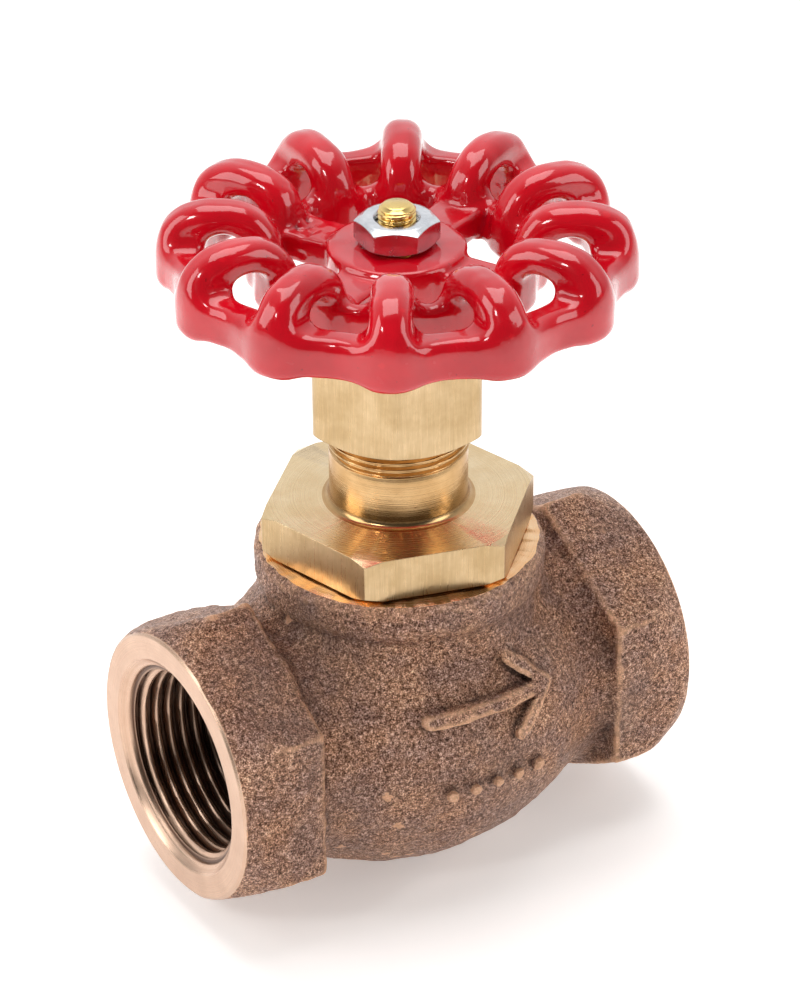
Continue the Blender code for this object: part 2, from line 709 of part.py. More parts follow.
def handwheel(collections, material):
    cutters = collections[1]
    rim = wheel_rim(collections)
    hub_outline = [
        (0, 0),
        (HUB_RADIUS - 0.3 * MM, 0),
        (HUB_RADIUS, -0.3 * MM),
        (HUB_RADIUS, -5 * MM),
        (HUB_BOSS_RADIUS, -HUB_HEIGHT),
        (0, -HUB_HEIGHT),
    ]
    boolean(rim, turned("wheel_hub", hub_outline, cutters), "UNION")
    for number in range(SPOKE_COUNT):
        low = (HUB_RADIUS / 2, -SPOKE_WIDTH / 2, SPOKE_BOTTOM)
        high = (RIM_INNER_RADIUS + 1.5 * MM, SPOKE_WIDTH / 2, SPOKE_TOP)
        spoke = box(f"wheel_spoke_{number}", low, high, cutters)
        bevel = spoke.modifiers.new("cast_edges", "BEVEL")
        bevel.width = 0.8 * MM
        bevel.segments = 2
        spoke.rotation_euler = (0, 0, 2 * math.pi * number / SPOKE_COUNT)
        boolean(rim, spoke, "UNION")
    hole = STEM_SQUARE / 2 + CLEARANCE
    boolean(rim, box("wheel_square", (-hole, -hole, -20 * MM), (hole, hole, 20 * MM), cutters), "DIFFERENCE")
    height = PIPE_AXIS_HEIGHT + HUB_TOP_Z
    for piece in (rim, *[o for o in cutters.objects if o.name.startswith("wheel_")]):
        piece.location.z = height
        piece.rotation_euler.z += WHEEL_ANGLE
    return settle(rim, material)


def handwheel_nut(collections, material):
    bottom = HUB_TOP_Z + CLEARANCE
    bore = STEM_TIP_RADIUS + CLEARANCE
    top = bottom + WHEEL_NUT_HEIGHT
    nut = hex_nut("handwheel_nut", WHEEL_NUT_FLATS, bottom, top, bore, collections, WHEEL_NUT_ANGLE)
    return settle(nut, material)


# ---------------------------------------------------------------- assembly


def main():
    clear_scene()
    parts = new_collection("globe_valve")
    cutters = new_collection("globe_valve_cutters")
    collections = (parts, cutters)

    bronze = principled("cast_bronze", (0.30, 0.20, 0.14), 0.55, 0.8)
    brass = principled("turned_brass", (0.78, 0.60, 0.33), 0.32, 1.0)
    stem_brass = principled("stem_brass", (0.80, 0.62, 0.30), 0.28, 1.0)
    red = principled("red_enamel", (0.62, 0.01, 0.03), 0.22, 0.0)
    zinc = principled("zinc_plate", (0.72, 0.73, 0.75), 0.25, 1.0)
    fluoropolymer = principled("white_seat_plastic", (0.88, 0.88, 0.84), 0.45, 0.0)
    graphite = principled("graphite_packing", (0.06, 0.06, 0.065), 0.7, 0.0)

    valve_body(collections, bronze)
    bonnet(collections, brass)
    packing_top = packing_rings(collections, graphite)
    packing_gland(collections, brass, packing_top)
    packing_nut(collections, brass)
    stem(collections, stem_brass)
    disc_holder(collections, brass)
    seat_disc(collections, fluoropolymer)
    seat_disc_nut(collections, brass)
    stem_lock_nut(collections, brass)
    handwheel(collections, red)
    handwheel_nut(collections, zinc)

    for cutter in cutters.objects:
        cutter.hide_render = True
        cutter.display_type = "WIRE"


main()
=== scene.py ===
"""Looks of the bronze globe valve: a rough sand casting, turned brass and a dipped red handwheel.

Shapes are worked out in millimetres. Heights in a shape are measured from the pipe's axis, or from the hub's
top face for the handwheel, and the objects carry the move and the scale to metres of the frame.
"""

import math

import bpy
import numpy as np
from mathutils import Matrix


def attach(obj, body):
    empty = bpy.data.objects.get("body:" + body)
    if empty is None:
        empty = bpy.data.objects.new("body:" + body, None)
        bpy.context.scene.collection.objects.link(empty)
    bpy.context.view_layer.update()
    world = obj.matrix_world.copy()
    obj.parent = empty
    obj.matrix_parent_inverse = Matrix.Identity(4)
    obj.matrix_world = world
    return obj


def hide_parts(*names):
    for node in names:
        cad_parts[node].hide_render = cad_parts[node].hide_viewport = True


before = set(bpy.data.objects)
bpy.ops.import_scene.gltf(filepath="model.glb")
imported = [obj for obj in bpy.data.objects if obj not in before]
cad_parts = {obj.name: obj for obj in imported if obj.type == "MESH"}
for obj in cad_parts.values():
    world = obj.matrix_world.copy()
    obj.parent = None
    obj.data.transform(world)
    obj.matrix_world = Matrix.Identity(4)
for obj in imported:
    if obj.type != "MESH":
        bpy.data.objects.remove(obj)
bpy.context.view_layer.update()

import openvdb
from mathutils import Matrix, Vector

MM = 0.001
AXIS_HEIGHT = 22.1
HALF_LENGTH = 35.0
HUB_TOP = 66.5
GAP = 0.3

# Casting
HEX_FLATS = 36.6
HEX_LENGTH = 12.2
END_FACE_RADIUS = 18.15
BELLY_RADIUS = 22.4
BELLY_HALF_LENGTH = 28.8
WAIST_RADIUS = 17.2
END_CORNER_SLOPE = math.radians(25)
BOSS_RADIUS = 19.1
BOSS_TOP = 24.0
BOSS_SHOULDER = 1.9
BOSS_SIDE = 3.4
BOSS_UNDERCUT = 0.9
CAST_VOXEL = 0.45

# Relief on the casting's front
RELIEF_HEIGHT = 1.25
ARROW_AT = (0.5, 8.6)
PIPS_AT = (0.5, -2.4)
PIP_SPACING = 3.4

# Pipe ports
PORT_PITCH = 25.4 / 14
PORT_ROOT_RADIUS = 13.55
PORT_THREAD_DEPTH = 1.15
PORT_DEPTH = 14.5

# Bonnet
BONNET_FLATS = 32.2
BONNET_TOP = 30.2
BONNET_ANGLE = math.radians(-16.0)
BONNET_BORE = 15.3
NECK_RADIUS = 9.07
NECK_TOP = 51.0
PACKING_BOX_RADIUS = 7.0

# Packing nut
PACKING_NUT_FLATS = 21.6
PACKING_NUT_BOTTOM = 40.6
PACKING_NUT_TOP = 55.5
PACKING_NUT_ANGLE = math.radians(-4)

# Handwheel's nut and stem
WHEEL_NUT_FLATS = 9.5
WHEEL_NUT_HEIGHT = 3.4
WHEEL_NUT_ANGLE = math.radians(-34.5)
STEM_TOP = 72.0
STEM_RADIUS = 4.0
STEM_SQUARE = 5.6

# Handwheel
WHEEL_ANGLE = math.radians(25.8)
RIBS = 12
RIB_ARCH = (22.5, -2.5)
RIB_ARCH_RADIUS = 8.15
RIB_ARCH_FULLNESS = 2.4
RIB_HALF_WIDTH = 2.65
WINDOW = (18.5, 24.9)
WINDOW_ARCH = -1.4
RIM_BOTTOM = -4.9
RIM_OUTER = 30.6
RIM_WAVE = 1.75
WHEEL_VOXEL = 0.3
HUB_RADIUS = 8.8
HUB_HALF_HEIGHT = 4.1
SPOKE_HALF_WIDTH = 3.3
SPOKE_HALF_HEIGHT = 1.9

# World direction from the object towards the bright backdrop
BACKDROP = (0.515, 0.808, 0.287)


# ---------------------------------------------------------------- distance fields


def smooth_union(a, b, blend):
    share = np.clip(0.5 + 0.5 * (b - a) / blend, 0, 1)
    return b + (a - b) * share - blend * share * (1 - share)


def smooth_cut(a, b, blend):
    """What is left of a once b is taken away."""
    return -smooth_union(-a, b, blend)


def rounded_cut(a, b, rounding):
    """What a and b share, with the edge between their surfaces rounded."""
    a, b = a + rounding, b + rounding
    outside = np.hypot(np.maximum(a, 0), np.maximum(b, 0))
    return np.minimum(np.maximum(a, b), 0) + outside - rounding


def rounded_box(across, along, half_across, half_along, rounding):
    """Distance in a section plane to a rectangle with rounded corners."""
    a = np.abs(across) - half_across + rounding
    b = np.abs(along) - half_along + rounding
    outside = np.hypot(np.maximum(a, 0), np.maximum(b, 0))
    return np.minimum(np.maximum(a, b), 0) + outside - rounding


def segment(x, y, start, end, half_width):
    """Distance in a plane to a bar with round ends."""
    along = np.array(end, float) - np.array(start, float)
    share = ((x - start[0]) * along[0] + (y - start[1]) * along[1]) / (along @ along)
    share = np.clip(share, 0, 1)
    return np.hypot(x - start[0] - share * along[0], y - start[1] - share * along[1]) - half_width


def tunnel(x, y, z, start, end):
    """Distance to a round tunnel whose radius runs evenly from one ball's to the other's; balls lie in XZ."""
    ax, az, radius_a = start
    bx, bz, radius_b = end
    length = (bx - ax) ** 2 + (bz - az) ** 2
    share = np.clip(((x - ax) * (bx - ax) + (z - az) * (bz - az)) / length, 0, 1)
    away = np.sqrt((x - ax - share * (bx - ax)) ** 2 + y**2 + (z - az - share * (bz - az)) ** 2)
    return away - radius_a - share * (radius_b - radius_a)


LUMP_TABLE = 32
lump_tables = {}


def lumps(x, y, z, wavelength, seed):
    """Smooth random values from -1 to 1, about one lump a wavelength."""
    if seed not in lump_tables:
        values = np.random.default_rng(seed).uniform(-1, 1, (LUMP_TABLE,) * 3)
        lump_tables[seed] = values.astype(np.float32)
    table = lump_tables[seed]
    cells, shares = [], []
    for value in (x, y, z):
        scaled = value / wavelength
        low = np.floor(scaled)
        share = scaled - low
        cells.append(low.astype(np.int32))
        shares.append(share * share * (3 - 2 * share))
    total = 0
    for corner in range(8):
        weight, index = 1, []
        for axis in range(3):
            bit = corner >> axis & 1
            index.append((cells[axis] + bit) % LUMP_TABLE)
            weight = weight * (shares[axis] if bit else 1 - shares[axis])
        total = total + weight * table[tuple(index)]
    return total


def mesh_from_field(name, field, low, high, voxel):
    """The surface where field is 0, with its points moved onto it exactly."""
    axes = [np.arange(a, b + voxel, voxel) for a, b in zip(low, high)]
    values = np.empty([len(axis) for axis in axes], np.float32)
    slab = 16
    for start in range(0, len(axes[0]), slab):
        cut = axes[0][start : start + slab]
        values[start : start + slab] = field(*np.meshgrid(cut, axes[1], axes[2], indexing="ij"))
    grid = openvdb.FloatGrid()
    grid.copyFromArray(values)
    points, quads = grid.convertToQuads(isovalue=0.0)
    points = points.astype(np.float64) * voxel + np.array(low, float)
    slope = None
    for _ in range(3):
        value = field(*points.T)
        slope = slope_of(field, points)
        size = np.maximum((slope**2).sum(axis=1), 0.04)
        step = np.clip(value / size, -voxel / 3, voxel / 3)
        points = points - slope * step[:, None]
    mesh = bpy.data.meshes.new(name)
    mesh.from_pydata(points * MM, [], quads)
    mesh.update()
    mesh.validate()
    return mesh


def slope_of(field, points, reach=0.06):
    slope = np.empty_like(points)
    for axis in range(3):
        step = np.zeros(3)
        step[axis] = reach
        slope[:, axis] = (field(*(points + step).T) - field(*(points - step).T)) / (2 * reach)
    return slope


# ---------------------------------------------------------------- meshes


def add_object(name, mesh, materials=(), turn=0.0):
    obj = bpy.data.objects.new(name, mesh)
    bpy.context.scene.collection.objects.link(obj)
    for material in materials:
        mesh.materials.append(material)
    obj.rotation_euler = (0, 0, turn)
    return obj


def spun(name, rows, steps=128, pitch=1.0, ring=False):
    """A solid of revolution about Z whose rows may carry a thread.

    A row is (radius, height, thread depth, material number), and the rows run down the outer side.
    """
    points, starts = [], []
    for radius, height, depth, _ in rows:
        starts.append(len(points))
        if radius == 0:
            points.append((0, 0, height))
            continue
        for step in range(steps):
            turn = step / steps
            wave = 1.3 * math.cos(2 * math.pi * (height / pitch - turn))
            reach = radius + depth / 2 * min(1, max(-1, wave))
            angle = 2 * math.pi * turn
            points.append((reach * math.cos(angle), reach * math.sin(angle), height))
    faces, numbers = [], []
    pairs = [(i, i + 1) for i in range(len(rows) - 1)]
    if ring:
        pairs.append((len(rows) - 1, 0))
    for upper, lower in pairs:
        for step in range(steps):
            after = (step + 1) % steps
            face = []
            if rows[upper][0] > 0:
                face.append(starts[upper] + step)
            else:
                face.append(starts[upper])
            if rows[lower][0] > 0:
                face += [starts[lower] + step, starts[lower] + after]
            else:
                face.append(starts[lower])
            if rows[upper][0] > 0:
                face.append(starts[upper] + after)
            faces.append(face)
            numbers.append(rows[upper][3])
    mesh = bpy.data.meshes.new(name)
    mesh.from_pydata(np.array(points) * MM, [], faces)
    mesh.polygons.foreach_set("material_index", numbers)
    return mesh


def ring_rows(points, number=1):
    """Rows without a thread, from points of radius and height."""
    return [(*point, 0, number) for point in points]


def threaded(radius, start, end, depth, pitch, number, taper=0.0, fade=1.0):
    """Rows of a thread between the heights start and end, which runs out over fade turns at each end."""
    count = max(2, int(abs(end - start) / pitch * 14))
    rows = []
    for i in range(count + 1):
        height = start + (end - start) * i / count
        turns_from_end = min(abs(height - start), abs(height - end)) / pitch
        share = min(1.0, turns_from_end / fade)
        rows.append((radius + taper * i / count, height, depth * share, number))
    return rows


def hexagon(name, flats, bottom, top, rounding, number=0, corner_steps=6):
    """A hexagon bar about Z with a corner on +X and rounded corners."""
    outline = []
    reach = flats / 2 / math.cos(math.pi / 6) - rounding / math.cos(math.pi / 6)
    for corner in range(6):
        middle = corner * math.pi / 3
        for step in range(corner_steps + 1):
            turn = middle - math.pi / 6 + math.pi / 3 * step / corner_steps
            outline.append(
                (
                    reach * math.cos(middle) + rounding * math.cos(turn),
                    reach * math.sin(middle) + rounding * math.sin(turn),
                )
            )
    count = len(outline)
    points = [(x, y, top) for x, y in outline] + [(x, y, bottom) for x, y in outline]
    faces = [[i, count + i, count + (i + 1) % count, (i + 1) % count] for i in range(count)]
    faces += [list(range(count)), list(range(2 * count - 1, count - 1, -1))]
    mesh = bpy.data.meshes.new(name)
    mesh.from_pydata(np.array(points) * MM, [], faces)
    mesh.polygons.foreach_set("material_index", [number] * len(faces))
    return mesh


def square_bar(name, size, bottom, top):
    half = size / 2
    corners = [(half, half), (-half, half), (-half, -half), (half, -half)]
    points = [(x, y, top) for x, y in corners] + [(x, y, bottom) for x, y in corners]
    faces = [[i, 4 + i, 4 + (i + 1) % 4, (i + 1) % 4] for i in range(4)]
    faces += [[0, 1, 2, 3], [7, 6, 5, 4]]
    mesh = bpy.data.meshes.new(name)
    mesh.from_pydata(np.array(points) * MM, [], faces)
    return mesh


def boolean(obj, other, operation, solver="MANIFOLD"):
    """Cuts, joins or trims obj by other, whose faces bring their own materials, and removes other."""
    modifier = obj.modifiers.new(other.name, "BOOLEAN")
    modifier.operation = operation
    modifier.solver = solver
    modifier.material_mode = "TRANSFER"
    modifier.object = other
    bpy.context.view_layer.update()
    evaluated = obj.evaluated_get(bpy.context.evaluated_depsgraph_get())
    mesh = bpy.data.meshes.new_from_object(evaluated)
    obj.modifiers.clear()
    mesh.name = obj.name
    obj.data = mesh
    bpy.data.objects.remove(other, do_unlink=True)


def finished(obj, crease, height):
    """Lifts the piece to its place, moves its mesh there, and shades it smooth but for its sharp edges."""
    obj.location = (0, 0, height * MM)
    bpy.context.view_layer.update()
    obj.data.transform(obj.matrix_world)
    obj.matrix_world = Matrix.Identity(4)
    obj.data.shade_smooth()
    if crease:
        obj.data.set_sharp_from_angle(angle=math.radians(crease))
    return obj


# ---------------------------------------------------------------- material nodes


def new_material(name, metallic=0.0, **constants):
    material = bpy.data.materials.new(name)
    material.use_nodes = True
    tree = material.node_tree
    shader = tree.nodes["Principled BSDF"]
    shader.inputs["Metallic"].default_value = metallic
    for key, value in constants.items():
        shader.inputs[key.replace("_", " ")].default_value = value
    return material, tree, shader


def node(tree, kind, inputs=None, **settings):
    made = tree.nodes.new(kind)
    for key, value in settings.items():
        setattr(made, key, value)
    for key, value in (inputs or {}).items():
        if isinstance(value, bpy.types.NodeSocket):
            tree.links.new(value, made.inputs[key])
        else:
            made.inputs[key].default_value = value
    return made


def place_of(tree):
    return node(tree, "ShaderNodeTexCoord").outputs["Object"]


def stretched(tree, vector, scale):
    return node(tree, "ShaderNodeMapping", {"Vector": vector, "Scale": scale}).outputs[0]


def noise(tree, vector, scale, detail=2.0, roughness=0.5):
    inputs = {"Vector": vector, "Scale": scale, "Detail": detail, "Roughness": roughness}
    return node(tree, "ShaderNodeTexNoise", inputs).outputs["Fac"]


def maths(tree, operation, a, b=0.0):
    return node(tree, "ShaderNodeMath", {0: a, 1: b}, operation=operation).outputs[0]


def spread(tree, value, low, high, bottom=0.0, top=1.0):
    """value's range from low to high laid out from bottom to top, and held at the ends."""
    inputs = {"Value": value, "From Min": low, "From Max": high, "To Min": bottom, "To Max": top}
    return node(tree, "ShaderNodeMapRange", inputs).outputs["Result"]


def ramp(tree, value, stops):
    made = node(tree, "ShaderNodeValToRGB", {"Fac": value})
    elements = made.color_ramp.elements
    while len(elements) < len(stops):
        elements.new(0.5)
    for element, (position, colour) in zip(elements, stops):
        element.position = position
        element.color = (*colour, 1)
    return made.outputs["Color"]


def mixed(tree, share, a, b, blend="MIX"):
    made = node(tree, "ShaderNodeMix", data_type="RGBA", blend_type=blend)
    for index, value in ((0, share), (6, a), (7, b)):
        if isinstance(value, bpy.types.NodeSocket):
            tree.links.new(value, made.inputs[index])
        else:
            made.inputs[index].default_value = (*value, 1) if index else value
    return made.outputs[2]


def bump(tree, height, distance, strength=1.0, under=None):
    inputs = {"Height": height, "Distance": distance, "Strength": strength}
    if under:
        inputs["Normal"] = under
    return node(tree, "ShaderNodeBump", inputs).outputs["Normal"]


def soft_edge(tree, radius):
    return node(tree, "ShaderNodeBevel", {"Radius": radius}, samples=4).outputs["Normal"]


def from_axis(tree, place, axis):
    """Distance from the axis, which is X at the pipe's height or Z."""
    parts = node(tree, "ShaderNodeSeparateXYZ", {"Vector": place}).outputs
    if axis == "X":
        a, b, along = parts["Y"], maths(tree, "SUBTRACT", parts["Z"], AXIS_HEIGHT * MM), parts["X"]
    else:
        a, b, along = parts["X"], parts["Y"], parts["Z"]
    squares = maths(tree, "ADD", maths(tree, "MULTIPLY", a, a), maths(tree, "MULTIPLY", b, b))
    return maths(tree, "SQRT", squares), along


def lathe_marks(tree, place, axis, scale):
    """Fine rings round the axis, both on faces and along the sides."""
    radius, along = from_axis(tree, place, axis)
    where = maths(tree, "ADD", radius, maths(tree, "MULTIPLY", along, 1.37))
    inputs = {"W": where, "Scale": scale, "Detail": 3.0, "Roughness": 0.7}
    return node(tree, "ShaderNodeTexNoise", inputs, noise_dimensions="1D").outputs["Fac"]


# ---------------------------------------------------------------- materials


def make_cast_bronze():
    material, tree, shader = new_material("cast_bronze", metallic=0.88)
    place = place_of(tree)
    grain = noise(tree, place, 2000, 3.0, 0.75)
    fine = noise(tree, place, 5200, 2.0, 0.7)
    blotch = noise(tree, place, 210, 3.0, 0.6)
    cloud = noise(tree, place, 75, 2.0, 0.5)
    # Random grain tone; the brightest stops of this ramp are painted glints.
    stops = [
        (0.37, (0.035, 0.018, 0.012)),
        (0.43, (0.140, 0.077, 0.053)),
        (0.50, (0.340, 0.202, 0.143)),
        (0.55, (0.600, 0.380, 0.275)),
        (0.62, (1.000, 0.800, 0.650)),
    ]
    coarse_share, fine_share = maths(tree, "MULTIPLY", grain, 0.45), maths(tree, "MULTIPLY", fine, 0.55)
    both = maths(tree, "ADD", coarse_share, fine_share)
    grain_and_glints = ramp(tree, both, stops)
    warm = mixed(tree, spread(tree, blotch, 0.38, 0.64), (0.88, 0.82, 0.84), (1.20, 1.06, 0.92))
    tinted = mixed(tree, 1.0, grain_and_glints, warm, "MULTIPLY")
    grey = mixed(tree, spread(tree, cloud, 0.45, 0.7, 0.0, 0.3), tinted, (0.26, 0.20, 0.175))
    point = node(tree, "ShaderNodeNewGeometry").outputs["Pointiness"]
    # Lighter orange on sharp edges: partly rubbed wear, partly a painted edge highlight.
    wear_and_edge_highlight = spread(tree, point, 0.510, 0.545)
    bright = mixed(tree, maths(tree, "MULTIPLY", wear_and_edge_highlight, 0.65), grey, (0.98, 0.60, 0.37))
    # Darker in hollows and creases: painted shade.
    hollow_shade = spread(tree, point, 0.490, 0.450)
    colour = mixed(tree, maths(tree, "MULTIPLY", hollow_shade, 0.75), bright, (0.035, 0.022, 0.020))
    tree.links.new(colour, shader.inputs["Base Color"])
    tree.links.new(spread(tree, grain, 0.35, 0.65, 0.58, 0.30), shader.inputs["Roughness"])
    rough = bump(tree, grain, 0.00080, 1.0)
    rough = bump(tree, fine, 0.00022, 1.0, rough)
    tree.links.new(rough, shader.inputs["Normal"])
    return material


def make_turned_bronze(name="machined_bronze", port=False):
    material, tree, shader = new_material(name, metallic=1.0, Anisotropic=0.35)
    place = place_of(tree)
    marks = lathe_marks(tree, place, "X", 9000)
    stain = noise(tree, place, 260, 3.0, 0.6)
    shade = mixed(tree, spread(tree, stain, 0.35, 0.7), (0.62, 0.42, 0.305), (0.71, 0.50, 0.37))
    colour = mixed(tree, spread(tree, marks, 0.35, 0.6, 0.30, 0.0), shade, (0.50, 0.30, 0.20))
    if port:
        radius, along = from_axis(tree, place, "X")
        # Painted shade: the thread roots darker than the crests.
        root_shade = spread(tree, radius, 12.85 * MM, 13.25 * MM)
        along = maths(tree, "ABSOLUTE", along)
        outside = spread(tree, along, (HALF_LENGTH - 1.4) * MM, (HALF_LENGTH - 1.1) * MM)
        root_shade = maths(tree, "SUBTRACT", root_shade, outside)
        colour = mixed(tree, root_shade, colour, (0.13, 0.075, 0.052))
        # Painted shade: darker deeper inside the port, where little light reaches.
        depth = spread(tree, along, 23 * MM, 32 * MM, 0.80, 0.0)
        colour = mixed(tree, depth, colour, (0.05, 0.032, 0.026))
    tree.links.new(colour, shader.inputs["Base Color"])
    tree.links.new(spread(tree, marks, 0.3, 0.7, 0.36, 0.24), shader.inputs["Roughness"])
    tree.links.new(bump(tree, marks, 0.00002, 0.8, soft_edge(tree, 0.00025)), shader.inputs["Normal"])
    return material


def make_boss_bronze():
    material, tree, shader = new_material("machined_boss", metallic=1.0, Anisotropic=0.35)
    place = place_of(tree)
    marks = lathe_marks(tree, place, "Z", 6000)
    stain = noise(tree, place, 300, 3.0, 0.6)
    shade = mixed(tree, spread(tree, stain, 0.35, 0.7), (0.88, 0.50, 0.24), (0.94, 0.66, 0.40))
    tree.links.new(shade, shader.inputs["Base Color"])
    tree.links.new(spread(tree, marks, 0.3, 0.7, 0.30, 0.18), shader.inputs["Roughness"])
    tree.links.new(bump(tree, marks, 0.00002, 0.8, soft_edge(tree, 0.0003)), shader.inputs["Normal"])
    return material


def make_brass(name, light, dark, marks_kind, roughness, edge):
    """Brass cut on a lathe, with rings, or milled and tumbled, with marks that run along the stem."""
    material, tree, shader = new_material(name, metallic=1.0)
    place = place_of(tree)
    if marks_kind == "turned":
        marks = lathe_marks(tree, place, "Z", 5200)
        shader.inputs["Anisotropic"].default_value = 0.5
    else:
        marks = noise(tree, stretched(tree, place, (4200, 4200, 160)), 1.0, 4.0, 0.7)
    stain = noise(tree, place, 240, 3.0, 0.6)
    shade = mixed(tree, spread(tree, stain, 0.35, 0.7), dark, light)
    colour = mixed(tree, spread(tree, marks, 0.30, 0.62, 0.30, 0.0), shade, [0.72 * value for value in dark])
    tree.links.new(colour, shader.inputs["Base Color"])
    low, high = roughness
    tree.links.new(spread(tree, marks, 0.3, 0.7, high, low), shader.inputs["Roughness"])
    nicks = noise(tree, place, 900, 2.0, 0.5)
    normal = bump(tree, marks, 0.00002, 0.7, soft_edge(tree, edge))
    normal = bump(tree, spread(tree, nicks, 0.66, 0.74), 0.00002, 0.5, normal)
    tree.links.new(normal, shader.inputs["Normal"])
    return material


def make_enamel():
    material, tree, shader = new_material(
        "red_enamel",
        Specular_IOR_Level=0.2,
        Coat_Weight=1.0,
        Coat_Roughness=0.04,
        Coat_IOR=1.55,
    )
    place = place_of(tree)
    cloud = noise(tree, place, 110, 3.0, 0.6)
    peel = noise(tree, place, 420, 2.0, 0.5)
    specks = noise(tree, place, 1500, 2.0, 0.6)
    base = mixed(tree, spread(tree, cloud, 0.35, 0.7), (0.52, 0.001, 0.009), (0.68, 0.002, 0.013))
    point = node(tree, "ShaderNodeNewGeometry").outputs["Pointiness"]
    # Darker red in hollows and recesses: painted shade.
    recess_shade = mixed(tree, spread(tree, point, 0.49, 0.44, 0.0, 0.7), base, (0.15, 0.001, 0.008))
    # Lighter red on sharp convex edges.
    edge_lightened = mixed(tree, spread(tree, point, 0.54, 0.60, 0.0, 0.35), recess_shade, (0.82, 0.006, 0.016))
    colour = mixed(tree, spread(tree, specks, 0.70, 0.76, 0.0, 0.5), edge_lightened, (0.10, 0.001, 0.004))
    tree.links.new(colour, shader.inputs["Base Color"])
    tree.links.new(spread(tree, peel, 0.3, 0.7, 0.16, 0.28), shader.inputs["Roughness"])
    tree.links.new(bump(tree, peel, 0.00006, 0.5), shader.inputs["Normal"])
    tree.links.new(bump(tree, peel, 0.00010, 0.5), shader.inputs["Coat Normal"])
    return material


def make_zinc():
    material, tree, shader = new_material("zinc_plate", metallic=1.0)
    place = place_of(tree)
    marks = noise(tree, stretched(tree, place, (3500, 3500, 260)), 1.0, 3.0, 0.6)
    cloud = noise(tree, place, 500, 3.0, 0.6)
    colour = mixed(tree, spread(tree, cloud, 0.35, 0.7), (0.62, 0.64, 0.67), (0.80, 0.81, 0.83))
    tree.links.new(colour, shader.inputs["Base Color"])
    tree.links.new(spread(tree, cloud, 0.3, 0.7, 0.30, 0.16), shader.inputs["Roughness"])
    tree.links.new(bump(tree, marks, 0.00001, 0.6, soft_edge(tree, 0.0002)), shader.inputs["Normal"])
    return material


def make_plastic():
    material, tree, shader = new_material("white_seat_plastic")
    place = place_of(tree)
    marks = lathe_marks(tree, place, "Z", 4000)
    cloud = noise(tree, place, 300, 2.0, 0.5)
    colour = mixed(tree, spread(tree, cloud, 0.3, 0.7), (0.78, 0.77, 0.71), (0.88, 0.88, 0.84))
    tree.links.new(colour, shader.inputs["Base Color"])
    tree.links.new(spread(tree, cloud, 0.3, 0.7, 0.38, 0.52), shader.inputs["Roughness"])
    tree.links.new(bump(tree, marks, 0.00002, 0.5, soft_edge(tree, 0.0002)), shader.inputs["Normal"])
    return material


def make_packing():
    material, tree, shader = new_material("graphite_packing")
    place = place_of(tree)
    braid = node(tree, "ShaderNodeTexVoronoi", {"Vector": place, "Scale": 1300.0}).outputs["Distance"]
    flake = noise(tree, place, 2500, 2.0, 0.6)
    colour = mixed(tree, spread(tree, flake, 0.35, 0.7), (0.02, 0.02, 0.022), (0.10, 0.10, 0.11))
    tree.links.new(colour, shader.inputs["Base Color"])
    tree.links.new(spread(tree, flake, 0.3, 0.7, 0.75, 0.5), shader.inputs["Roughness"])
    tree.links.new(bump(tree, braid, 0.0002, 0.8), shader.inputs["Normal"])
    return material


def make_floor_material():
    material, tree, shader = new_material("studio_paper", Roughness=0.6)
    shader.inputs["Base Color"].default_value = (0.93, 0.91, 0.895, 1)
    shader.inputs["Emission Color"].default_value = (1.0, 0.955, 0.925, 1)
    shader.inputs["Emission Strength"].default_value = 0.36
    return material


# ---------------------------------------------------------------- casting


def hexagon_section(y, z, flats, rounding):
    """Distance in the section plane to a hexagon with a corner on Z and rounded corners."""
    half = flats / 2 - rounding
    cosine, sine, slant = -math.cos(math.pi / 6), 0.5, math.tan(math.pi / 6)
    a, b = np.abs(z), np.abs(y)
    lean = 2 * np.minimum(cosine * a + sine * b, 0)
    a = a - lean * cosine
    b = b - lean * sine
    a = a - np.clip(a, -slant * half, slant * half)
    b = b - half
    return np.hypot(a, b) * np.sign(b) - rounding


def flow_arrow(x, z):
    """Distance in the side view to a plain arrow that shows which way the valve is piped."""
    shaft = segment(x, z, (-9.0, 0), (8.6, 0), 0.95)
    upper = segment(x, z, (9.3, 0), (3.9, 4.9), 0.95)
    lower = segment(x, z, (9.3, 0), (3.9, -4.9), 0.95)
    return np.minimum(shaft, np.minimum(upper, lower))


def cast_pips(x, z):
    """Distance in the side view to a row of five plain pips."""
    nearest = np.clip(np.round(x / PIP_SPACING), -2, 2) * PIP_SPACING
    return np.hypot(x - nearest, z) - 0.75


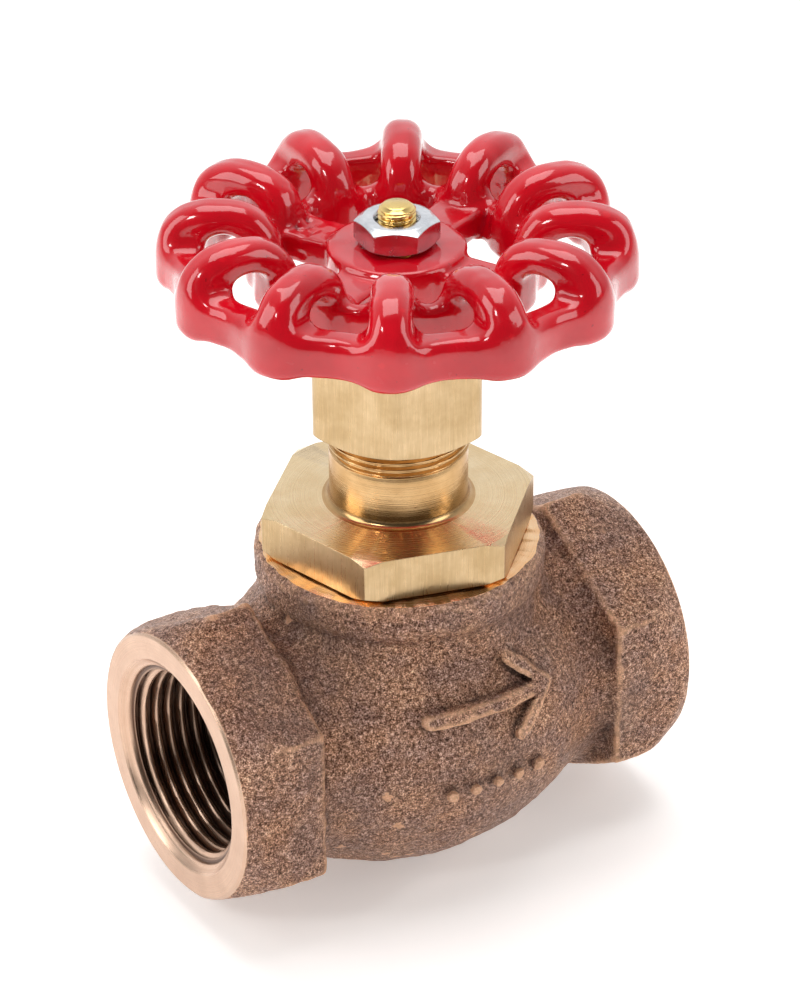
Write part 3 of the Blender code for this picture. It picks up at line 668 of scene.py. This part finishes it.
def casting_field(x, y, z):
    around = np.hypot(y, z)
    scaled = np.hypot(x / BELLY_HALF_LENGTH, around / BELLY_RADIUS)
    steep = np.hypot(x / BELLY_HALF_LENGTH**2, around / BELLY_RADIUS**2)
    belly = scaled * (scaled - 1) / np.maximum(steep, 1e-6)
    waist = np.maximum(around - WAIST_RADIUS, np.abs(x) - 27)
    shape = smooth_union(belly, waist, 1.8)

    from_end = HALF_LENGTH - np.abs(x)
    cone = (around - END_FACE_RADIUS - 0.05) * math.cos(END_CORNER_SLOPE)
    cone = cone - from_end * math.sin(END_CORNER_SLOPE)
    bar = rounded_cut(hexagon_section(y, z, HEX_FLATS, 0.55), cone, 0.4)
    bar = np.maximum(rounded_cut(bar, from_end - HEX_LENGTH, 0.7), -1 - from_end)
    shape = smooth_union(shape, bar, 1.3 + 1.2 * np.clip((z - 4) / 10, 0, 1))

    below = np.clip(BOSS_TOP - BOSS_SIDE - z, 0, 2.2)
    boss_radius = BOSS_RADIUS - BOSS_UNDERCUT * (below / 2.2) ** 2
    boss = rounded_cut(np.hypot(x, y) - boss_radius, z - BOSS_TOP - 0.45, BOSS_SHOULDER)
    shape = smooth_union(shape, np.maximum(boss, 2 - z), 2.6)

    arrow = flow_arrow(x - ARROW_AT[0], z - ARROW_AT[1])
    mark = np.minimum(arrow, cast_pips(x - PIPS_AT[0], z - PIPS_AT[1]))
    relief = rounded_cut(belly - RELIEF_HEIGHT, np.maximum(mark, y), 0.35)
    shape = smooth_union(shape, relief, 0.4)

    close = np.abs(shape) < 2
    px, py, pz = x[close], y[close], z[close]
    rough = 0.15 * lumps(px, py, pz, 3.3, 1)
    rough += 0.10 * lumps(px, py, pz, 1.5, 2)
    rough += 0.07 * lumps(px, py, pz, 0.85, 3)
    shape[close] += rough * np.clip(from_end[close] / 4, 0.2, 1)

    inlet = tunnel(x, y, z, (-20, -6.5, 8), (0, -11.5, 8))
    outlet = tunnel(x, y, z, (21, 1.5, 8.5), (12.5, 11.5, 7.5))
    shape = smooth_cut(shape, inlet, 0.6)
    shape = smooth_cut(shape, outlet, 0.6)
    return np.maximum(shape, -AXIS_HEIGHT - z)


def port_rows():
    """The tool that cuts a pipe port: mouth chamfer, a step, the taper thread and a plain end."""
    depth = PORT_THREAD_DEPTH
    start, end = HALF_LENGTH - 1.5, HALF_LENGTH - 13.2
    mouth = [(0, HALF_LENGTH + 1), (15.9, HALF_LENGTH + 1), (13.95, HALF_LENGTH - 0.85)]
    mouth += [(13.65, HALF_LENGTH - 0.95), (13.5, HALF_LENGTH - 1.4)]
    rows = ring_rows(mouth, 0)
    rows += threaded(PORT_ROOT_RADIUS - depth / 2, start, end, depth, PORT_PITCH, 0, -0.45, 0.25)
    rows += ring_rows([(12.3, end - 0.4), (12.0, HALF_LENGTH - PORT_DEPTH), (0, HALF_LENGTH - PORT_DEPTH)], 0)
    return rows


def make_casting(cast, machined, boss_metal, port_metal):
    low, high = (-37.5, -24, -24), (37.5, 24, 27.5)
    mesh = mesh_from_field("cast_body", casting_field, low, high, CAST_VOXEL)
    body = add_object("cast_body", mesh, (cast,))

    face, edge = HALF_LENGTH, HALF_LENGTH - 0.3
    half = [(0, face), (END_FACE_RADIUS - 0.2, face), (END_FACE_RADIUS + 0.1, edge), (50, edge)]
    rows = half + [(radius, -height) for radius, height in reversed(half)]
    envelope = add_object("turned_ends", spun("turned_ends", ring_rows(rows, 0)), (machined,))
    envelope.rotation_euler = (0, math.pi / 2, 0)
    boolean(body, envelope, "INTERSECT")

    for side in (-1, 1):
        port = add_object("port", spun("port", port_rows(), 144, PORT_PITCH), (port_metal,))
        port.rotation_euler = (0, side * math.pi / 2, 0)
        boolean(body, port, "DIFFERENCE")

    top = BOSS_TOP
    rows = [(0, top + 5), (40, top + 5), (40, top), (0, top)]
    facing = add_object("boss_face", spun("boss_face", ring_rows(rows, 0)), (boss_metal,))
    boolean(body, facing, "DIFFERENCE")

    rows = ring_rows([(0, top + 1), (16.4, top + 1), (BONNET_BORE, top - 0.1)], 0)
    rows += threaded(BONNET_BORE, top - 0.5, 14.2, 0.7, 1.5, 0, fade=0.5)
    seat = [(BONNET_BORE, 13.5), (12.3, 13.5), (12.3, 4.0), (10.5, 1.5), (9.3, 1.5), (9.0, 1.8)]
    seat += [(9.0, 2.8), (8.8, 3.0), (7.7, 3.0), (7.5, 2.8), (7.5, -8.0), (0, -8.0)]
    rows += ring_rows(seat, 0)
    bore = add_object("bonnet_bore", spun("bonnet_bore", rows, 96, 1.5), (machined,))
    boolean(body, bore, "DIFFERENCE")
    return finished(body, 42, AXIS_HEIGHT)


# ---------------------------------------------------------------- bonnet, nuts and stem


def make_hex_piece(name, flats, bottom, top, rounding, face, materials, turn, drop_low=None, edge=0.12):
    """A hexagon trimmed by a turned outline with a 30 degree chamfer at the top and the bottom."""
    corner = flats / 2 / math.cos(math.pi / 6) + 0.1
    rim = flats / 2 * face
    drop = (corner - rim) * math.tan(math.radians(30))
    low = rim if drop_low is None else drop_low
    fall = (corner - low) * math.tan(math.radians(30))
    piece = add_object(name, hexagon(name, flats, bottom - 1, top + 1, rounding), materials, turn)
    rows = [(0, top), (rim - edge, top), (rim, top - edge * 0.6), (corner, top - drop)]
    rows += [(corner, bottom + fall), (low, bottom), (0, bottom)]
    trim = add_object("trim", spun("trim", ring_rows(rows)), materials, turn)
    boolean(piece, trim, "INTERSECT")
    return piece


def arc(centre, radius, start, end, count):
    angles = [math.radians(start + (end - start) * i / (count - 1)) for i in range(count)]
    return [(centre[0] + radius * math.cos(a), centre[1] + radius * math.sin(a)) for a in angles]


def make_bonnet(milled, turned, polished):
    materials = (milled, turned, polished)
    angle = BONNET_ANGLE
    bottom, top = BOSS_TOP + GAP, BONNET_TOP
    piece = make_hex_piece("turned_bonnet", BONNET_FLATS, bottom, top, 0.3, 1.09, materials, angle)
    neck, neck_top, box = NECK_RADIUS, NECK_TOP, PACKING_BOX_RADIUS
    rows = ring_rows([(box, neck_top), (neck - 0.6, neck_top), (neck - 0.2, neck_top - 0.5)], 2)
    rows += threaded(neck - 0.12, neck_top - 0.7, 37.2, 0.5, 0.95, 2, fade=0.8)
    rows += ring_rows([(neck - 0.06, 36.9), (neck, 36.7), *arc((neck + 1.0, top + 1.0), 1.0, 180, 268, 9)], 2)
    rows += ring_rows([(neck + 1.4, top - 0.2), (neck + 1.4, bottom + 1), (15.0, bottom + 1)])
    rows += threaded(14.95, bottom + 0.2, 15.4, 0.7, 1.5, 1, fade=0.6)
    rows += ring_rows([(14.2, 14.5), (12.5, 14.5), (12.5, 22.6), (12.1, 23.0), (5.5, 23.0), (5.5, 36.0)])
    rows += ring_rows([(4.3, 36.0), (4.3, 38.5), (box, 38.5)])
    core = add_object("bonnet_core", spun("bonnet_core", rows, 128, 0.95, ring=True), materials, angle)
    through = ring_rows([(0, 60), (6.0, 60), (6.0, 10), (0, 10)])
    boolean(piece, add_object("hole", spun("hole", through), materials), "DIFFERENCE")
    boolean(piece, core, "UNION")
    return finished(piece, 32, AXIS_HEIGHT)


def make_packing_nut(milled, turned):
    name, flats, angle = "milled_packing_nut", PACKING_NUT_FLATS, PACKING_NUT_ANGLE
    bottom, top = PACKING_NUT_BOTTOM, PACKING_NUT_TOP
    materials = (milled, turned)
    nut = make_hex_piece(name, flats, bottom, top, 1.9, 0.93, materials, angle, 9.7, 0.3)
    rows = [(0, top + 1), (5.0, top + 1), (4.3, top - 0.1), (4.3, top - 2.2), (9.37, top - 2.2)]
    rows += [(9.37, bottom + 0.5), (9.9, bottom - 0.1), (9.9, bottom - 1), (0, bottom - 1)]
    hole = add_object("hole", spun("hole", ring_rows(rows)), materials)
    boolean(nut, hole, "DIFFERENCE")
    return finished(nut, 32, AXIS_HEIGHT)


def make_wheel_nut(zinc):
    bottom = HUB_TOP + GAP
    top = bottom + WHEEL_NUT_HEIGHT
    name, flats, angle = "zinc_wheel_nut", WHEEL_NUT_FLATS, WHEEL_NUT_ANGLE
    nut = make_hex_piece(name, flats, bottom, top, 0.15, 0.93, (zinc, zinc), angle, None, 0.15)
    rows = [(0, top + 1), (3.7, top + 1), (2.9, top - 0.15)]
    rows = ring_rows(rows) + threaded(2.78, top - 0.3, bottom + 0.4, 0.18, 0.8, 1, fade=0.4)
    rows += ring_rows([(3.0, bottom), (3.6, bottom - 1), (0, bottom - 1)])
    hole = add_object("hole", spun("hole", rows, 64, 0.8), (zinc, zinc))
    boolean(nut, hole, "DIFFERENCE")
    return finished(nut, 32, AXIS_HEIGHT)


def make_stem(turned, milled):
    materials = (turned, milled)
    tip = STEM_TOP
    rows = [(0, tip), (1.65, tip), (1.78, tip - 0.08), (2.1, tip - 0.45)]
    rows = ring_rows(rows, 0) + threaded(2.25, tip - 0.5, 66.4, 0.36, 0.7, 0, fade=0.3)
    shank = [(2.2, 66.1), (2.4, 65.9), (STEM_RADIUS, 65.9), (STEM_RADIUS, 30.0), (4.4, 29.3)]
    rows += ring_rows(shank, 0)
    rows += threaded(4.85, 29.0, 17.6, 0.7, 2.54, 0, fade=0.3)
    throat = [(4.3, 17.3), (2.9, 17.2), (2.9, 10.9), (3.7, 10.9)]
    button = [(3.9, 10.7), (3.9, 9.5), (3.1, 9.1), (0, 9.1)]
    rows += ring_rows(throat + button, 0)
    shaft = add_object("threaded_stem", spun("threaded_stem", rows, 80, 0.7), materials, WHEEL_ANGLE)
    sleeve = ring_rows([(6, 65.95), (6, 58.0), (0.5, 58.0), (0.5, 65.95)])
    sleeve = spun("square_cutter", sleeve, 64, ring=True)
    cutter = add_object("square_cutter", sleeve, materials, WHEEL_ANGLE)
    bar = add_object("bar", square_bar("bar", STEM_SQUARE, 50, 70), materials, WHEEL_ANGLE)
    boolean(cutter, bar, "DIFFERENCE")
    boolean(shaft, cutter, "DIFFERENCE")
    return finished(shaft, 32, AXIS_HEIGHT)


# ---------------------------------------------------------------- handwheel


def handwheel_field(x, y, z):
    radius = np.hypot(x, y)
    angle = np.arctan2(y, x)
    sector = 2 * math.pi / RIBS
    fold = (angle + sector / 2) % sector - sector / 2
    out, across = radius * np.cos(fold), radius * np.sin(fold)
    wave = (1 - np.cos(RIBS * angle)) / 2

    middle, level = RIB_ARCH
    beyond, above = np.abs(out - middle), np.maximum(z - level, 0)
    power = RIB_ARCH_FULLNESS
    arch = (beyond**power + above**power) ** (1 / power) - RIB_ARCH_RADIUS
    rib = rounded_cut(arch, np.abs(across) - RIB_HALF_WIDTH, 2.2)
    inside, outside = WINDOW
    window_middle, window_half = (inside + outside) / 2, (outside - inside) / 2
    opening = np.hypot(out - window_middle, np.maximum(z - WINDOW_ARCH, 0)) - window_half
    rib = rounded_cut(rounded_cut(rib, -opening, 1.2), RIM_BOTTOM - z, 0.9)

    wall = radius - RIM_OUTER + RIM_WAVE * wave
    outer = rounded_cut(rounded_cut(wall, z - 0.3, 2.0), outside - 0.1 - radius, 0.8)
    outer = rounded_cut(outer, RIM_BOTTOM - z, 0.9)
    bore = 14.6 + (z - RIM_BOTTOM) * 0.38 - radius
    inner = rounded_cut(rounded_cut(radius - inside, z + 0.2, 0.9), bore * 0.93, 0.9)
    inner = rounded_cut(inner, RIM_BOTTOM - z, 0.9)
    shape = smooth_union(outer, rib, 2.4)
    shape = smooth_union(shape, inner, 2.2)
    shape = rounded_cut(shape, wall, 1.2)

    quarter = math.pi / 2
    turned = (angle + quarter / 2) % quarter - quarter / 2
    along, beside = radius * np.cos(turned), radius * np.sin(turned)
    spoke = rounded_box(beside, z + 2.8, SPOKE_HALF_WIDTH, SPOKE_HALF_HEIGHT, 0.7)
    spoke = np.maximum(spoke, np.maximum(3 - along, along - 16.5))
    shape = smooth_union(shape, spoke, 0.9)

    hub = rounded_box(radius, z + HUB_HALF_HEIGHT, HUB_RADIUS, HUB_HALF_HEIGHT, 0.55)
    hub = np.maximum(hub, radius - HUB_RADIUS + np.maximum(-5 - z, 0) * 0.375)
    shape = smooth_union(shape, hub, 0.9)

    close = np.abs(shape) < 1.5
    px, py, pz = x[close], y[close], z[close]
    shape[close] += 0.12 * lumps(px, py, pz, 4.3, 11) + 0.055 * lumps(px, py, pz, 1.9, 12)
    patch = np.exp(-(px**2 + (py - 13.5) ** 2) / 9)
    shape[close] += 0.40 * patch * lumps(px, py, pz, 1.1, 13)

    hole = np.maximum(np.abs(x), np.abs(y)) - 3.1
    return smooth_cut(shape, hole, 0.3)


def make_handwheel(enamel):
    reach = RIM_OUTER + 1.2
    low, high = (-reach, -reach, -9.5), (reach, reach, 7.2)
    mesh = mesh_from_field("enamelled_wheel", handwheel_field, low, high, WHEEL_VOXEL)
    wheel = add_object("enamelled_wheel", mesh, (enamel,), WHEEL_ANGLE)
    return finished(wheel, None, AXIS_HEIGHT + HUB_TOP)


# ---------------------------------------------------------------- studio


def make_camera():
    """The photograph's viewing angle: turned to the inlet side and looking down at 30 degrees."""
    azimuth, elevation, roll = math.radians(32.49), math.radians(30.2), math.radians(-0.37)
    right = Vector((math.cos(azimuth), -math.sin(azimuth), 0))
    level = math.cos(elevation)
    ahead = Vector((math.sin(azimuth) * level, math.cos(azimuth) * level, -math.sin(elevation)))
    turn = Matrix((right, right.cross(ahead), -ahead)).transposed() @ Matrix.Rotation(roll, 3, "Z")
    distance, aim_above_axis = 0.5125, 0.02518
    data = bpy.data.cameras.new("studio_camera")
    data.sensor_width = 36
    data.lens = 137.2
    data.clip_start = 0.01
    camera = bpy.data.objects.new("studio_camera", data)
    bpy.context.scene.collection.objects.link(camera)
    place = Vector((0, 0, AXIS_HEIGHT * MM)) + turn @ Vector((0, aim_above_axis, distance))
    camera.matrix_world = Matrix.Translation(place) @ turn.to_4x4()
    bpy.context.scene.camera = camera


def add_area(name, place, target, size, power, colour=(1, 1, 1)):
    data = bpy.data.lights.new(name, "AREA")
    data.shape = "RECTANGLE"
    data.size, data.size_y = size
    data.energy = power
    data.color = colour
    light = bpy.data.objects.new(name, data)
    bpy.context.scene.collection.objects.link(light)
    light.location = place
    light.rotation_euler = (Vector(target) - Vector(place)).to_track_quat("-Z", "Y").to_euler()


def make_studio():
    half = 2.5
    floor = bpy.data.meshes.new("studio_floor")
    corners = [(-half, -half, 0), (half, -half, 0), (half, half, 0), (-half, half, 0)]
    floor.from_pydata(corners, [], [(0, 1, 2, 3)])
    add_object("studio_floor", floor, (make_floor_material(),))

    world = bpy.data.worlds.new("studio")
    world.use_nodes = True
    tree = world.node_tree
    direction = node(tree, "ShaderNodeTexCoord").outputs["Generated"]
    inputs = {0: direction, 1: BACKDROP}
    facing = node(tree, "ShaderNodeVectorMath", inputs, operation="DOT_PRODUCT").outputs["Value"]
    strength = spread(tree, facing, -0.1, 0.8, 0.09, 0.95)
    tree.links.new(strength, tree.nodes["Background"].inputs["Strength"])
    tree.nodes["Background"].inputs["Color"].default_value = (0.97, 0.98, 1.0, 1)
    bpy.context.scene.world = world

    middle = (0, 0, 0.045)
    add_area("softbox_left", (-0.57, 0.18, 0.36), middle, (0.34, 0.5), 1.75)
    add_area("softbox_right", (0.37, -0.48, 0.36), middle, (0.30, 0.46), 1.25)
    add_area("lamp_left", (-0.66, -0.22, 0.62), middle, (0.14, 0.14), 1.1)
    add_area("softbox_top", (0.05, 0.1, 0.85), middle, (0.6, 0.6), 3.4)
    bpy.context.scene.view_settings.view_transform = "Standard"


# ---------------------------------------------------------------- assembly


def main():
    make_camera()
    make_studio()

    cast = make_cast_bronze()
    machined = make_turned_bronze()
    boss_metal = make_boss_bronze()
    port_metal = make_turned_bronze("threaded_bronze", port=True)
    light, dark = (0.64, 0.47, 0.27), (0.50, 0.35, 0.18)
    milled = make_brass("milled_brass", light, dark, "milled", (0.24, 0.36), 0.00015)
    light, dark = (0.90, 0.71, 0.44), (0.80, 0.59, 0.33)
    turned = make_brass("turned_brass", light, dark, "turned", (0.16, 0.30), 0.00012)
    light, dark = (0.66, 0.43, 0.21), (0.52, 0.31, 0.13)
    polished = make_brass("neck_brass", light, dark, "turned", (0.14, 0.22), 0.0001)
    light, dark = (0.92, 0.68, 0.27), (0.82, 0.56, 0.20)
    golden = make_brass("stem_brass", light, dark, "turned", (0.12, 0.22), 0.0001)
    enamel = make_enamel()
    zinc = make_zinc()
    plastic = make_plastic()
    packing = make_packing()

    pieces = (
        (make_casting(cast, machined, boss_metal, port_metal), "body", "valve_body", "cast_bronze"),
        (make_bonnet(milled, turned, polished), "body", "bonnet", "turned_brass"),
        (make_packing_nut(milled, turned), "body", "packing_nut", "turned_brass"),
        (make_stem(golden, golden), "wheel", "stem", "stem_brass"),
        (make_handwheel(enamel), "wheel", "handwheel", "red_enamel"),
        (make_wheel_nut(zinc), "wheel", "handwheel_nut", "zinc_plate"),
    )
    for piece, body, replaced, slot in pieces:
        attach(piece, body)
        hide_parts(replaced)

    kept = {"packing_gland": turned, "disc_holder": turned, "seat_disc_nut": milled, "stem_lock_nut": milled}
    kept["seat_disc"] = plastic
    for number in (1, 2, 3):
        kept[f"packing_ring_{number}"] = packing
    for name, material in kept.items():
        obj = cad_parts[name]
        for slot in obj.material_slots:
            slot.material = material
        if not obj.material_slots:
            obj.data.materials.append(material)
        bevel = obj.modifiers.new("edges", "BEVEL")
        bevel.width = 0.15 * MM
        bevel.segments = 2
        bevel.limit_method = "ANGLE"


main()
